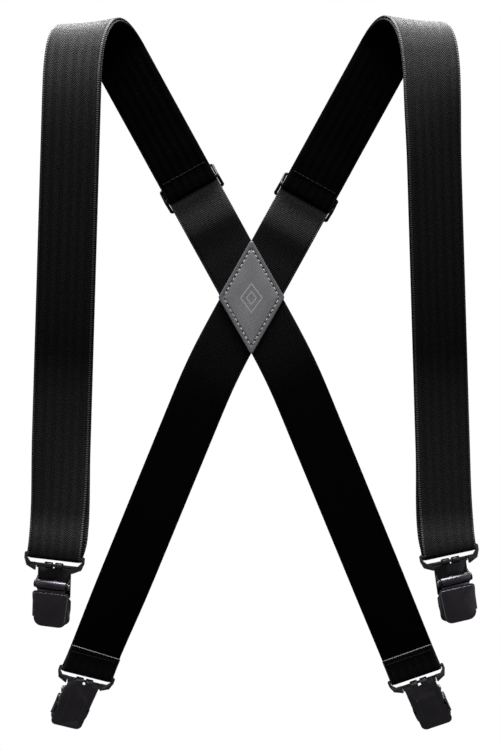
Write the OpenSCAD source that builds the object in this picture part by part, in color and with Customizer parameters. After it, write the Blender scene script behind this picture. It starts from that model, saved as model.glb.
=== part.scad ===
// Clip-on suspenders with an X back.
// Two elastic straps cross at a leather patch behind the wearer. Each one runs
// up the back, through a sliding adjuster, over the shoulder and down to a
// front clip, and comes back over the shoulder to the adjuster as a second,
// inner layer. The straps are shaped as they hang when worn.
//
// Millimetres. +Z is up, +Y is towards the wearer's back, and left and right
// are as seen from the front. The origin is the centre of the inner patch's
// face, the one that rests on the wearer's back.

/* [Webbing] */
// Width of the elastic webbing
web_w = 38; // [30:1:40]
// Thickness of the webbing
web_t = 1.6; // [1.2:0.1:2]
// Gap between two layers that lie on each other
layer_gap = 0.6; // [0.4:0.1:1]
// Sideways creep of the left inner layer, towards the middle of the wearer
left_creep = 1.3; // [0:0.1:2]
// Sideways creep of the right inner layer, towards the middle of the wearer
right_creep = 0.3; // [0:0.1:2]
// Extra creep of the inner layer just above a front clip
creep_at_clip = 1.6; // [0:0.1:2.5]
// Length of the end that is folded back round each back ring
fold_len = 17; // [14:1:24]

/* [Worn shape] */
// Height of the shoulder crest above the patch centre
crest_z = 185.6; // [170:0.5:230]
// Radius of the bend over the shoulder
bend_r = 22; // [18:1:32]
// Drop of the front left ring's upper bar below the patch centre
front_left_drop = 175.2; // [130:0.2:230]
// Drop of the front right ring's upper bar below the patch centre
front_right_drop = 171.8; // [130:0.2:230]
// Drop of the back ring bars below the patch centre
back_drop = 268.8; // [220:0.2:330]
// Slope of the back straps away from the vertical, in degrees
back_slope = 7.5; // [5:0.5:10]
// Sideways lean of the front straps, in degrees
front_lean = 1.7; // [0:0.1:4]
// Angle of each back strap from the middle above the patch, in degrees
upper_angle = 28.7; // [24:0.1:32]
// Angle of each back strap from the middle below the patch, in degrees
lower_angle = 22.3; // [18:0.1:28]
// Length over which a strap turns from the front lean to the back angle
turn_len = 80; // [60:1:90]
// How far before the crest the middle of that turn lies
turn_lead = 20; // [10:1:25]
// Distance below the patch centre where the straps take the lower angle
straighten_drop = 50; // [40:1:70]
// Roll of the crest, its outer edge lower, in degrees
shoulder_roll = 6.5; // [0:0.5:8]
// Sideways lean of a front strap where it reaches its clip, in degrees
front_end_lean = 4.8; // [1:0.1:8]
// Lean of the front left clip, in degrees
front_left_tilt = 5; // [0:0.1:10]
// Lean of the front right clip, in degrees
front_right_tilt = 10.2; // [0:0.1:12]
// Lean of the back left clip, in degrees
back_left_tilt = 19.5; // [14:0.1:26]
// Lean of the back right clip, in degrees
back_right_tilt = 21.6; // [14:0.1:26]
// Turn of the front left clip to face away from the middle, in degrees
front_left_turn = 15; // [-10:1:25]
// Turn of the front right clip to face away from the middle, in degrees
front_right_turn = 17; // [-10:1:25]
// Turn of the back left clip to face away from the middle, in degrees
back_left_turn = 16; // [-10:1:30]
// Turn of the back right clip to face away from the middle, in degrees
back_right_turn = 7; // [-10:1:30]
// Swing of the front left clip on its ring, mouth outwards, in degrees
front_left_swing = -9; // [-25:1:25]
// Swing of the front right clip on its ring, mouth outwards, in degrees
front_right_swing = -5; // [-25:1:25]
// Swing of the back left clip on its ring, mouth outwards, in degrees
back_left_swing = 14; // [-25:1:25]
// Swing of the back right clip on its ring, mouth outwards, in degrees
back_right_swing = 17; // [-25:1:25]

/* [Patch] */
// Width of the diamond patch
patch_w = 46.5; // [44:0.5:56]
// Height of the diamond patch
patch_h = 82; // [78:0.5:96]
// Thickness of each leather diamond
leather_t = 1.5; // [1:0.1:2.2]
// Distance of the stitch line from the patch's edge
stitch_inset = 3.1; // [2.5:0.1:4]
// Distance from one stitch to the next
stitch_pitch = 3.4; // [2.8:0.1:4.5]
// Width of the thread
thread_w = 0.8; // [0.5:0.1:1]
// Width of the small diamond pressed into the leather
emblem_w = 15; // [10:1:18]

/* [Adjuster] */
// Distance of the left slide below the end of the shoulder bend
left_slide_at = 91; // [84:1:96]
// Distance of the right slide below the end of the shoulder bend
right_slide_at = 97; // [84:1:98]
// Distance between the slide's outer bars
slide_bars = 15.6; // [13:0.2:18]
// Radius of the slide's wire
wire_r = 1; // [0.8:0.1:1.2]
// Gap between the slide's outer bars and the webbing
slide_gap = 0.45; // [0.4:0.05:0.7]
// Length of the strap end that is sewn back on itself
sewn_len = 20; // [16:1:22]

/* [Clip] */
// Radius of the ring's round bars
bar_r = 1; // [0.8:0.1:1.1]
// Distance between the ring's two bars
bar_pitch = 6.3; // [6.1:0.1:8]
// Width of the ring's sides
ring_side = 1.75; // [1.4:0.05:2.4]
// Thickness of the ring's plate
ring_t = 1.5; // [1.2:0.1:1.6]
// Thickness of the clip's sheet metal
sheet_t = 1; // [0.8:0.1:1.1]
// Width of the clip across the cover
clip_w = 25.8; // [24:0.2:30]
// How much narrower the cover is at the mouth, each side
taper = 1.3; // [0:0.1:2]
// Length of the cover
cover_len = 23.8; // [22:0.1:32]
// Width of the neck that hangs from the ring
neck_w = 23.4; // [20:0.2:24]
// Radius of the hinge pin
pin_r = 0.9; // [0.7:0.1:1]
// Radius of the cover's hinge roll
roll_r = 3.1; // [2.9:0.1:3.4]
// Distance of the hinge pin below the ring's lower bar
pin_drop = 12.6; // [12.2:0.1:16]
// Gap between the two jaws when the clip is shut
jaw_gap = 0.4; // [0.3:0.1:0.8]
// Length of the ribbed pads
pad_len = 10; // [8:1:14]

/* [Hidden] */
$fn = 48;

LEFT = -1;
RIGHT = 1;
overlap = 0.2;           // how far joined shapes run into each other
turning_gap = 0.1;       // between a bar or pin and the metal that turns on it
loop_gap = 0.2;          // between a bar and the webbing looped round it
touch_gap = 0.05;        // between sewn layers of webbing and leather
web_colour = [0.09, 0.09, 0.095];
leather_colour = [0.36, 0.35, 0.36];
thread_colour = [0.62, 0.6, 0.57];
metal_colour = [0.13, 0.13, 0.14];
pad_colour = [0.05, 0.05, 0.05];

// ---- layers, counted outwards from the middle of a strap's outer layer ----
cross_shift = (web_t + touch_gap) / 2;        // each strap from the patch's mid-plane
patch_depth = cross_shift + web_t / 2 + touch_gap + leather_t;
inner_n = -(web_t + layer_gap);               // the inner layer
loop_r = bar_r + loop_gap + web_t / 2;        // middle of the webbing round a bar
loop_spread = 10;                             // where the layers start to part
bar_n = inner_n / 2;                          // the ring's upper bar

// ---- side profile of a strap: front leg, bend, back leg ----
// s runs along the profile from the crest: negative down the front, positive
// down the back.
bend_z = crest_z - bend_r - web_t / 2;
front_arc = bend_r * PI / 2;
back_arc = bend_r * PI * (90 - back_slope) / 180;
patch_run = (bend_z + (bend_r - patch_depth) * sin(back_slope)) / cos(back_slope);
bend_y = (patch_depth - bend_r) * cos(back_slope) - patch_run * sin(back_slope);
patch_s = back_arc + patch_run;
function front_s(side) = -front_arc - bend_z - (side == LEFT ? front_left_drop : front_right_drop);
back_s = patch_s + back_drop / cos(back_slope);

function bend_angle(s) =
    s < -front_arc ? 0 : s > back_arc ? 180 - back_slope : 90 + s / bend_r * 180 / PI;
function beyond(s) = s < -front_arc ? s + front_arc : s > back_arc ? s - back_arc : 0;
function profile(s) = let(a = bend_angle(s), d = beyond(s))
    [bend_y - bend_r * cos(a) + d * sin(a), bend_z + bend_r * sin(a) + d * cos(a)];

// ---- sideways course of a strap ----
function smooth(t) = let(c = min(max(t, 0), 1)) c * c * (3 - 2 * c);
function smooth_sum(t) = t < 0 ? 0 : t > 1 ? t - 0.5 : t * t * t * (1 - t / 2);
function ramp(s, start, len) = smooth((s - start) / len);
function ramp_sum(s, start, len) = len * smooth_sum((s - start) / len);

turn_start = -turn_lead - turn_len / 2;
lower_len = 60;                               // length of the bend below the patch
lower_start = patch_s + straighten_drop - lower_len / 2;
tilt_len = 45;                                // length over which the end lean sets in
tilt_flat = 14;                               // straight run next to a ring
skew_len = 28;                                // length over which the webbing skews to its ring
turn_rise = tan(upper_angle) - tan(front_lean);
lower_rise = tan(lower_angle) - tan(upper_angle);
front_tilt_start = front_s(LEFT) + tilt_flat;
front_rise = tan(front_end_lean) - tan(front_lean);

// How fast a strap closes on the middle, and how far it has come
function closing(s) = tan(front_lean)
    + turn_rise * ramp(s, turn_start, turn_len)
    + lower_rise * ramp(s, lower_start, lower_len)
    + front_rise * (1 - ramp(s, front_tilt_start, tilt_len));
function closed(s) = tan(front_lean) * s
    + turn_rise * ramp_sum(s, turn_start, turn_len)
    + lower_rise * ramp_sum(s, lower_start, lower_len)
    + front_rise * (s - ramp_sum(s, front_tilt_start, tilt_len));
function half_gap(s) = closed(patch_s) - closed(s);

// How far the webbing is skewed to lie square to its rings
function front_skew(side) = (side == LEFT ? front_left_tilt : front_right_tilt) - front_end_lean;
function back_skew(side) = (side == LEFT ? back_right_tilt : back_left_tilt) - lower_angle;
function skew(s, side) = front_skew(side) * (1 - ramp(s, front_s(side) + tilt_flat, skew_len))
    + back_skew(side) * ramp(s, back_s - tilt_flat - skew_len, skew_len);

// Roll about the strap's own run: at the crest, gone where the straight legs
// start, and at the rings, where the webbing turns with its clip
roll_in = 65;
roll_held = 10;                               // run in front of the crest at full roll
roll_out = 44;
turn_in = 70;
right_turn_start = -110;                      // the right front leg keeps its turn up to here
// On the back legs the outer face turns the other way to face away from the middle
function front_turn(side) = side == LEFT ? front_left_turn : front_right_turn;
function back_turn(side) = side == LEFT ? -back_right_turn : -back_left_turn;
function roll(s, side) = shoulder_roll * (ramp(s, -roll_in - roll_held, roll_in) - ramp(s, 0, roll_out))
    + front_turn(side) * (1 - ramp(s, side == LEFT ? front_s(LEFT) + tilt_flat : right_turn_start, turn_in))
    + back_turn(side) * ramp(s, back_s - tilt_flat - turn_in, turn_in);

// ---- a point on a strap, and the directions there ----
function unit(v) = v / norm(v);
function square_out(s) = let(a = bend_angle(s)) [0, -cos(a), sin(a)];
function course(s, side) = let(a = bend_angle(s)) unit([-side * closing(s), sin(a), cos(a)]);
function square_across(s, side) = cross(course(s, side), square_out(s));
function outward(s, side) = let(r = roll(s, side))
    square_out(s) * cos(r) + side * sin(r) * square_across(s, side);
function across(s, side) = let(r = roll(s, side), k = skew(s, side))
    (square_across(s, side) * cos(r) - side * sin(r) * square_out(s)) * cos(k)
    + side * sin(k) * course(s, side);
function along(s, side) = cross(outward(s, side), across(s, side));
function on_strap(s, n, w, side) = let(p = profile(s))
    [side * half_gap(s), p[0], p[1]]
    + (n + side * cross_shift) * outward(s, side) + w * across(s, side);
function stretch(s) = norm([1, closing(s)]);

// ---- routes: lists of [s, n, w] along the middle of the webbing ----
straight_step = 15;
bend_step = 4;
bend_from = turn_start;
bend_to = max(back_arc, turn_start + turn_len) + bend_step;
function steps(from, to, step) = let(count = max(1, ceil(abs(to - from) / step)))
    [for (i = [0:count]) from + (to - from) * i / count];
function tail(v) = [for (i = [1:len(v) - 1]) v[i]];
function backwards(v) = [for (i = [len(v) - 1:-1:0]) v[i]];
function stations(from, to) = from < to ? concat(
    steps(from, min(bend_from, to), straight_step),
    to > bend_from ? tail(steps(bend_from, min(bend_to, to), bend_step)) : [],
    to > bend_to ? tail(steps(bend_to, to, straight_step)) : [])
    : backwards(stations(to, from));

// The leg of a loop, from where the layers part to the bar
function leg(s_bar, n_bar, n_far, sign, down) =
    let(k = stretch(s_bar))
    [for (i = [0:4]) let(a = loop_spread * (1 - i / 5))
        [s_bar - down * a / k, n_far + (n_bar + sign * loop_r - n_far) * smooth(1 - a / loop_spread), 0]];
// The half turn under a bar
function turn(s_bar, n_bar, sign, down) = let(k = stretch(s_bar))
    [for (a = [0:15:180]) [s_bar + down * loop_r * sin(a) / k, n_bar + sign * loop_r * cos(a), 0]];

creep_fade = 50;                              // length over which the creep at a clip goes
function creep_at(s, side) = let(start = front_s(side), rise = ramp(s, start, tilt_flat))
    -side * rise * ((side == LEFT ? left_creep : right_creep) * (1 - ramp(s, bend_from, turn_len))
    + creep_at_clip * (1 - ramp(s, start + tilt_flat, creep_fade)));

function slide_s(side) = back_arc + (side == LEFT ? left_slide_at : right_slide_at);
part_run = 75;                                // from the slide up to the sewn end's start
part_gap = 0.3;                               // between the strap and the sewn end there
function part_s(side) = slide_s(side) - part_run / stretch(slide_s(side));

function strap_route(side) = let(k = stretch(back_s), front_bar = front_s(side)) concat(
    [[back_s - fold_len / k, inner_n, 0]],
    leg(back_s, bar_n, inner_n, -1, 1),
    turn(back_s, bar_n, -1, 1),
    backwards(leg(back_s, bar_n, 0, 1, 1)),
    [for (s = stations(back_s - 2 * loop_spread, front_bar + 2 * loop_spread)) [s, 0, 0]],
    leg(front_bar, bar_n, 0, 1, -1),
    turn(front_bar, bar_n, 1, -1),
    [for (p = backwards(leg(front_bar, bar_n, inner_n, -1, -1)))
        [p[0], p[1], creep_at(p[0], side)]],
    [for (s = stations(front_bar + 2 * loop_spread, part_s(side) - part_gap))
        [s, inner_n, creep_at(s, side)]]);

// ---- the slide's layers ----
outer_bar_n = web_t / 2 + slide_gap + wire_r;
sewn_gap = 0.3;
sewn_n = -(web_t + sewn_gap);                 // the end that is folded back
slide_loop_r = wire_r + loop_gap + web_t / 2;
middle_bar_n = sewn_n - slide_loop_r;
lifted_n = sewn_n - web_t - sewn_gap;         // the layer over the folded end
sewn_spread = 11;                             // where the looped layer starts to bulge
sewn_cover = sewn_len + 3;                    // the layer stays lifted over this length
settle_len = 20;                              // and comes down over this length

function lift(a) = a < sewn_cover
    ? lifted_n + (middle_bar_n - slide_loop_r - lifted_n) * smooth(1 - a / sewn_spread)
    : lifted_n + (inner_n - lifted_n) * smooth((a - sewn_cover) / settle_len);
function sewn_route(side) = let(s0 = slide_s(side), k = stretch(s0)) concat(
    [for (a = [part_run, 60, 50, 43, 39, 35, 31, 27, 23, 18, 13, 10.5, 8, 5.5, 3])
        [s0 - a / k, lift(a), 0]],
    [for (a = [0:15:180]) [s0 + slide_loop_r * sin(a) / k, middle_bar_n - slide_loop_r * cos(a), 0]],
    [for (a = [5, 12, sewn_len]) [s0 - a / k, sewn_n, 0]]);

// ---- webbing as a swept rectangle ----
function place(route, i, side) = on_strap(route[i][0], route[i][1], route[i][2], side);
function corners(route, i, side) =
    let(last = len(route) - 1,
        p = place(route, i, side),
        t = unit(place(route, min(i + 1, last), side) - place(route, max(i - 1, 0), side)),
        up = unit(cross(t, across(route[i][0], side))),
        w = cross(up, t) * web_w / 2,
        h = up * web_t / 2)
    [p - w - h, p + w - h, p + w + h, p - w + h];
module webbing(route, side) {
    count = len(route);
    points = [for (i = [0:count - 1]) each corners(route, i, side)];
    walls = [for (i = [0:count - 2], j = [0:3]) let(a = 4 * i + j, b = 4 * i + (j + 1) % 4)
        each [[a, b, b + 4], [a, b + 4, a + 4]]];
    color(web_colour)
        polyhedron(points, concat([[0, 3, 2], [0, 2, 1]], walls,
            [[4 * count - 4, 4 * count - 3, 4 * count - 2], [4 * count - 4, 4 * count - 2, 4 * count - 1]]));
}

// A frame with x across the strap, y outwards and z up the strap
module on_frame(p, out, up) {
    x = cross(out, up);
    multmatrix([[x[0], out[0], up[0], p[0]], [x[1], out[1], up[1], p[1]], [x[2], out[2], up[2], p[2]],
        [0, 0, 0, 1]]) children();
}
module at_slide(side) {
    s = slide_s(side);
    on_frame(on_strap(s, 0, 0, side), outward(s, side), -along(s, side)) children();
}
module at_front_bar(side) {
    s = front_s(side);
    on_frame(on_strap(s, bar_n, 0, side), outward(s, side), along(s, side)) children();
}
module at_back_bar(side) {
    on_frame(on_strap(back_s, bar_n, 0, side), outward(back_s, side), -along(back_s, side)) children();
}
// A clip swung about its ring's lower bar
lower_bar_z = -bar_pitch;
module swung(swing) {
    translate([0, 0, lower_bar_z]) rotate([swing, 0, 0]) translate([0, 0, -lower_bar_z]) children();
}
// Clips are placed by where they hang, so a back clip is on the other strap
module front_left() { at_front_bar(LEFT) swung(front_left_swing) children(); }
module front_right() { at_front_bar(RIGHT) swung(front_right_swing) children(); }
module back_left() { at_back_bar(RIGHT) swung(back_left_swing) children(); }
module back_right() { at_back_bar(LEFT) swung(back_right_swing) children(); }

// A bar of round wire along x
module bar(r, half) { rotate([0, 90, 0]) cylinder(r = r, h = 2 * half, center = true); }
// A flat shape in the x-z plane, from y = low to y = high
module flat(low, high) { translate([0, high, 0]) rotate([90, 0, 0]) linear_extrude(high - low) children(); }
// A shape in the y-z plane, from x = low to x = high
module side_flat(low, high) {
    translate([low, 0, 0]) rotate([90, 0, 90]) linear_extrude(high - low) children();
}

// ---- stitches ----
thread_h = 0.35;
stitch_len_share = 0.62;
module stitch_row(from, to) {
    run = to - from;
    count = floor(norm(run) / stitch_pitch);
    for (i = [0:count - 1])
        translate(from + run * (i + 0.5) / count)
            rotate([0, -atan2(run[2], run[0]), 0])
                translate([-stitch_pitch * stitch_len_share / 2, 0, -thread_w / 2])
                    cube([stitch_pitch * stitch_len_share, thread_h, thread_w]);
}
seam_half = web_w / 2 - 2;
seam_rise = 12;                               // seam above the bar it closes
module end_stitching(side) {
    color(web_colour) at_slide(side)
        translate([0, lift(seam_rise) - web_t / 2 - thread_h - touch_gap, seam_rise])
            stitch_row([-seam_half, 0, 0], [seam_half, 0, 0]);
}
loop_seam_rise = fold_len - 3.5;
module loop_stitching(side) {
    color(web_colour) at_back_bar(side)
        translate([0, inner_n / 2 - web_t / 2 - thread_h - touch_gap, loop_seam_rise])
            stitch_row([-seam_half, 0, 0], [seam_half, 0, 0]);
}

// ---- adjuster slide: three bars joined by two lobes at each end ----
elbow_r = 1.1;
elbow_swell = 0.04;                           // the bent wire is a little thicker than the straight
slide_half = web_w / 2 + 0.2;
module lobe(from, to, swell) {
    run = to - from;
    reach = norm(run);
    translate([slide_half, from[0], from[1]])
        rotate([atan2(run[1], run[0]), 0, 0]) {
            translate([0, elbow_r, 0]) rotate([0, 0, -90])
                rotate_extrude(angle = 90) translate([elbow_r, 0]) circle(wire_r + swell);
            translate([elbow_r, elbow_r - touch_gap, 0]) rotate([-90, 0, 0])
                cylinder(r = wire_r, h = reach - 2 * elbow_r + 2 * touch_gap);
            translate([0, reach - elbow_r, 0])
                rotate_extrude(angle = 90) translate([elbow_r, 0]) circle(wire_r + swell);
        }
}
module slide(side) {
    upper = [outer_bar_n, slide_bars / 2];
    lower = [outer_bar_n, -slide_bars / 2];
    middle = [middle_bar_n, 0];
    color(metal_colour) at_slide(side) {
        for (c = [upper, middle, lower])
            translate([0, c[0], c[1]]) bar(wire_r, slide_half + touch_gap);
        for (m = [0, 1]) mirror([m, 0, 0]) {
            lobe(upper, middle, elbow_swell);
            lobe(middle, lower, elbow_swell * 1.5);
            translate([slide_half, middle[0], middle[1]]) sphere(wire_r + 4 * elbow_swell);
        }
    }
}

// ---- patch ----
function diamond(w, h, r) = let(a = atan2(h, w), x = w / 2 - r / sin(a), z = h / 2 - r / cos(a))
    concat(
    [for (i = [-1:0.5:1]) [x, 0] + r * [cos(i * (90 - a)), sin(i * (90 - a))]],
    [for (i = [-1:0.5:1]) [0, z] + r * [cos(90 + i * a), sin(90 + i * a)]],
    [for (i = [-1:0.5:1]) [-x, 0] + r * [cos(180 + i * (90 - a)), sin(180 + i * (90 - a))]],
    [for (i = [-1:0.5:1]) [0, -z] + r * [cos(270 + i * a), sin(270 + i * a)]]);
patch_edge = atan2(patch_h, patch_w);
seam_w = patch_w - 2 * stitch_inset / sin(patch_edge);
seam_h = patch_h - 2 * stitch_inset / cos(patch_edge);
groove_w = thread_w + 0.2;
groove_d = 0.45;
emblem_h = emblem_w * 1.35;
emblem_line = 0.9;
module diamond_ring(w, h, line) {
    difference() {
        polygon(diamond(w + line, h + line * h / w, 0.4));
        polygon(diamond(w - line, h - line * h / w, 0.3));
    }
}
module leather() {
    difference() {
        flat(0, leather_t) polygon(diamond(patch_w, patch_h, 1.5));
        flat(-overlap, groove_d)
            diamond_ring(seam_w, seam_h, groove_w / sin(patch_edge));
        flat(-overlap, groove_d) diamond_ring(emblem_w, emblem_h, emblem_line);
        flat(-overlap, groove_d) diamond_ring(emblem_w * 0.45, emblem_h * 0.45, emblem_line);
    }
}
module inner_side() { rotate([back_slope, 0, 0]) children(); }
module outer_side() {
    rotate([back_slope, 0, 0]) translate([0, 2 * patch_depth, 0]) rotate([0, 0, 180]) children();
}
module patch_seam() {
    z = seam_h / 2;
    x = seam_w / 2;
    y = groove_d - thread_h;
    clear = 1.6;                              // no stitch on the tips themselves
    tips = [[x, y, 0], [0, y, z], [-x, y, 0], [0, y, -z]];
    for (i = [0:3]) {
        from = tips[i];
        to = tips[(i + 1) % 4];
        d = unit(to - from) * clear;
        stitch_row(from + d, to - d);
    }
}

// ---- clip, in the frame of the ring's upper bar ----
ring_half = web_w / 2 + 0.5;                  // inside the ring's sides
gusset_x = neck_w / 2 + 1.2;                  // where the ring's corners stop beside the neck
slot_low = lower_bar_z + bar_r;
curl_r = bar_r + turning_gap + sheet_t;       // outside of the knuckles
plate_y = -curl_r;                            // the back plate's outer face
plate_in = plate_y + sheet_t;
knuckle_in = 1.2;
knuckle_out = 6.2;
neck_top = lower_bar_z - bar_r - 1.3;
pin_z = lower_bar_z - pin_drop;
pin_y = plate_in + roll_r + 0.9;
cover_top = pin_z - roll_r - 1.5;
cover_end = cover_top - cover_len;
cover_in = pin_y + roll_r - 2;                // the cover's inner face
cover_out = cover_in + sheet_t + 0.2;
cover_half = clip_w / 2;
jaw_y = plate_in + 2;                         // where the jaws meet
ear_x = cover_half - 2.1;
ear_t = 1.2;
brow_half = ear_x - 0.4;
pad_top = cover_end + 3.5 + pad_len;
pad_half = cover_half - 3.4;

module clip_ring() {
    outer = ring_half + ring_side;
    color(metal_colour) {
        bar(bar_r, ring_half + overlap);
        translate([0, 0, lower_bar_z]) bar(bar_r, gusset_x + overlap);
        for (m = [0, 1]) mirror([m, 0, 0])
            flat(-ring_t / 2, ring_t / 2)
                polygon([[ring_half, 1.2], [outer - 0.7, 1.2], [outer, 0.5], [outer, -3],
                    [outer - 1.9, lower_bar_z - 1.5], [gusset_x + 0.4, lower_bar_z - 4.3],
                    [gusset_x, lower_bar_z - 3.9], [gusset_x, slot_low], [ring_half - 2.6, slot_low],
                    [ring_half, -2.6]]);
    }
}

function arc(centre, r, from, to) =
    [for (i = [0:6]) let(a = from + (to - from) * i / 6) centre + r * [cos(a), sin(a)]];
module back_outline() {
    half = neck_w / 2;
    low = cover_end + 0.7;
    corner = 4;
    notch = 1.2;
    notch_z = cover_top - 4;
    notch_h = 4;
    right = concat(
        [[half, neck_top], [half, notch_z], [half - notch, notch_z - notch],
            [half - notch, notch_z - notch_h + notch], [half, notch_z - notch_h]],
        arc([half - corner, low + corner], corner, 0, -90));
    polygon(concat(right, [for (i = [len(right) - 1:-1:0]) [-right[i][0], right[i][1]]]));
}
module ear() {
    difference() {
        side_flat(ear_x, ear_x + ear_t)
            union() {
                translate([pin_y, pin_z]) circle(roll_r - 0.5);
                polygon([[plate_in - overlap, pin_z + 4.6], [pin_y - 1, pin_z + roll_r - 0.9],
                    [pin_y, pin_z], [pin_y - 1, pin_z - roll_r + 0.9], [plate_in - overlap, pin_z - 5]]);
            }
        translate([0, pin_y, pin_z]) bar(pin_r + touch_gap, clip_w);
    }
}
module clip_back_plate() {
    rib_x = 6.6;
    rib_top = pin_z - 2;
    rib_end = cover_end + 9;
    color(metal_colour) {
        difference() {
            union() {
                for (x = [knuckle_in, -knuckle_out])
                    translate([x + (knuckle_out - knuckle_in) / 2, 0, lower_bar_z])
                        bar(curl_r, (knuckle_out - knuckle_in) / 2);
                for (x = [knuckle_in, -knuckle_out])
                    translate([x, plate_y, neck_top - overlap])
                        cube([knuckle_out - knuckle_in, sheet_t, lower_bar_z - neck_top + overlap]);
            }
            translate([0, 0, lower_bar_z]) bar(bar_r + turning_gap, clip_w);
        }
        flat(plate_y, plate_in) back_outline();
        for (m = [0, 1]) mirror([m, 0, 0]) ear();
        // pressed ribs on the outside of the plate
        for (x = [-rib_x, rib_x]) translate([x, plate_y + overlap, 0])
            rotate([90, 0, 0]) {
                for (z = [rib_top, rib_end]) translate([0, z, 0]) cylinder(r = 0.9, h = 0.5 + overlap);
                translate([-0.9, rib_end, 0]) cube([1.8, rib_top - rib_end, 0.5 + overlap]);
            }
        // lip at the mouth
        side_flat(-cover_half + 4.6, cover_half - 4.6)
            polygon([[plate_in - overlap, cover_end + 0.9], [jaw_y - jaw_gap / 2, cover_end + 0.9],
                [jaw_y - jaw_gap / 2, cover_end + 1.7], [plate_in + 0.6, cover_end + 2.1],
                [plate_in - overlap, cover_end + 3.2]]);
    }
}
module cover_outline(inset) {
    half = cover_half - inset;
    low = cover_end + inset;
    top = cover_top - inset;
    big = 5.5 - inset;
    small = 2 - inset / 2;
    polygon(concat(arc([half - small, top - small], small, 90, 0),
        arc([half - taper - big, low + big], big, 0, -90),
        arc([-half + taper + big, low + big], big, -90, -180),
        arc([-half + small, top - small], small, 180, 90)));
}
module clip_cover() {
    color(metal_colour) {
        difference() {
            union() {
                translate([0, pin_y, pin_z]) bar(roll_r, brow_half);
                side_flat(-brow_half + 0.5, brow_half - 0.5)
                    polygon([[cover_in - 1.2, pin_z], [pin_y + roll_r - 0.7, pin_z - 1.8],
                        [cover_in, pin_z - roll_r - 0.3], [cover_in, cover_top - 3],
                        [cover_in - 1.2, cover_top - 3]]);
            }
            translate([0, pin_y, pin_z]) bar(pin_r + turning_gap, clip_w);
        }
        flat(cover_in, cover_out - 0.4) cover_outline(0);
        flat(cover_out - 0.4 - touch_gap, cover_out) cover_outline(0.5);
        // folded sides
        for (m = [0, 1]) mirror([m, 0, 0])
            side_flat(cover_half - sheet_t - 0.1, cover_half - 0.1)
                polygon([[cover_in + overlap, cover_top - 2.5], [cover_in + overlap, cover_end + 6],
                    [jaw_y + 0.5, cover_end + 7.5], [plate_in + 0.6, cover_end + 12],
                    [plate_in + 0.6, cover_top - 6]]);
        // lip at the mouth
        side_flat(-cover_half + 4.6, cover_half - 4.6)
            polygon([[cover_in + overlap, cover_end + 0.3], [jaw_y + 0.9, cover_end + 0.5],
                [jaw_y + jaw_gap / 2, cover_end + 1], [jaw_y + jaw_gap / 2, cover_end + 1.7],
                [cover_in + overlap, cover_end + 2.9]]);
    }
}
module clip_hinge_pin() {
    head_x = ear_x + ear_t;
    color("dimgray") translate([0, pin_y, pin_z]) {
        bar(pin_r, head_x + overlap);
        for (m = [0, 1]) mirror([m, 0, 0])
            translate([head_x + touch_gap, 0, 0]) rotate([0, 90, 0]) cylinder(r = pin_r + 0.5, h = 0.45);
    }
}
// Pads: a flat base with ribs across it that point at the other jaw
rib_pitch = 1.25;
module pad(base, tip) {
    low = min(base, tip);
    thick = abs(tip - base);
    rib = 0.5;
    body_low = tip > base ? base : tip + rib;
    flat(body_low, body_low + thick - rib)
        polygon([[-pad_half, pad_top], [pad_half, pad_top], [pad_half, pad_top - pad_len],
            [-pad_half, pad_top - pad_len]]);
    for (z = [pad_top - pad_len + 0.3:rib_pitch:pad_top - 1])
        side_flat(-pad_half, pad_half)
            polygon([[tip > base ? tip - rib - touch_gap : tip + rib + touch_gap, z], [tip, z + 0.35],
                [tip > base ? tip - rib - touch_gap : tip + rib + touch_gap, z + 0.7]]);
}
module clip_back_pad() { color(pad_colour) pad(plate_in, jaw_y - jaw_gap / 2); }
module clip_cover_pad() { color(pad_colour) pad(cover_in, jaw_y + jaw_gap / 2); }

webbing(strap_route(LEFT), LEFT);  // left_webbing
webbing(strap_route(RIGHT), RIGHT);  // right_webbing
webbing(sewn_route(LEFT), LEFT);  // left_sewn_end
webbing(sewn_route(RIGHT), RIGHT);  // right_sewn_end
end_stitching(LEFT);  // left_end_stitching
end_stitching(RIGHT);  // right_end_stitching
loop_stitching(LEFT);  // left_loop_stitching
loop_stitching(RIGHT);  // right_loop_stitching
slide(LEFT);  // left_slide
slide(RIGHT);  // right_slide
color(leather_colour) inner_side() leather();  // inner_patch
color(leather_colour) outer_side() leather();  // outer_patch
color(thread_colour) {  // patch_stitching
    inner_side() patch_seam();
    outer_side() patch_seam();
}
at_front_bar(LEFT) clip_ring();  // front_left_ring
front_left() clip_back_plate();  // front_left_back_plate
front_left() clip_cover();  // front_left_cover
front_left() clip_hinge_pin();  // front_left_hinge_pin
front_left() clip_back_pad();  // front_left_back_pad
front_left() clip_cover_pad();  // front_left_cover_pad
at_front_bar(RIGHT) clip_ring();  // front_right_ring
front_right() clip_back_plate();  // front_right_back_plate
front_right() clip_cover();  // front_right_cover
front_right() clip_hinge_pin();  // front_right_hinge_pin
front_right() clip_back_pad();  // front_right_back_pad
front_right() clip_cover_pad();  // front_right_cover_pad
at_back_bar(RIGHT) clip_ring();  // back_left_ring
back_left() clip_back_plate();  // back_left_back_plate
back_left() clip_cover();  // back_left_cover
back_left() clip_hinge_pin();  // back_left_hinge_pin
back_left() clip_back_pad();  // back_left_back_pad
back_left() clip_cover_pad();  // back_left_cover_pad
at_back_bar(LEFT) clip_ring();  // back_right_ring
back_right() clip_back_plate();  // back_right_back_plate
back_right() clip_cover();  // back_right_cover
back_right() clip_hinge_pin();  // back_right_hinge_pin
back_right() clip_back_pad();  // back_right_back_pad
back_right() clip_cover_pad();  // back_right_cover_pad
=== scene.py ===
import bpy
import bmesh
import math
import numpy as np
from mathutils import Matrix, Vector


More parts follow.
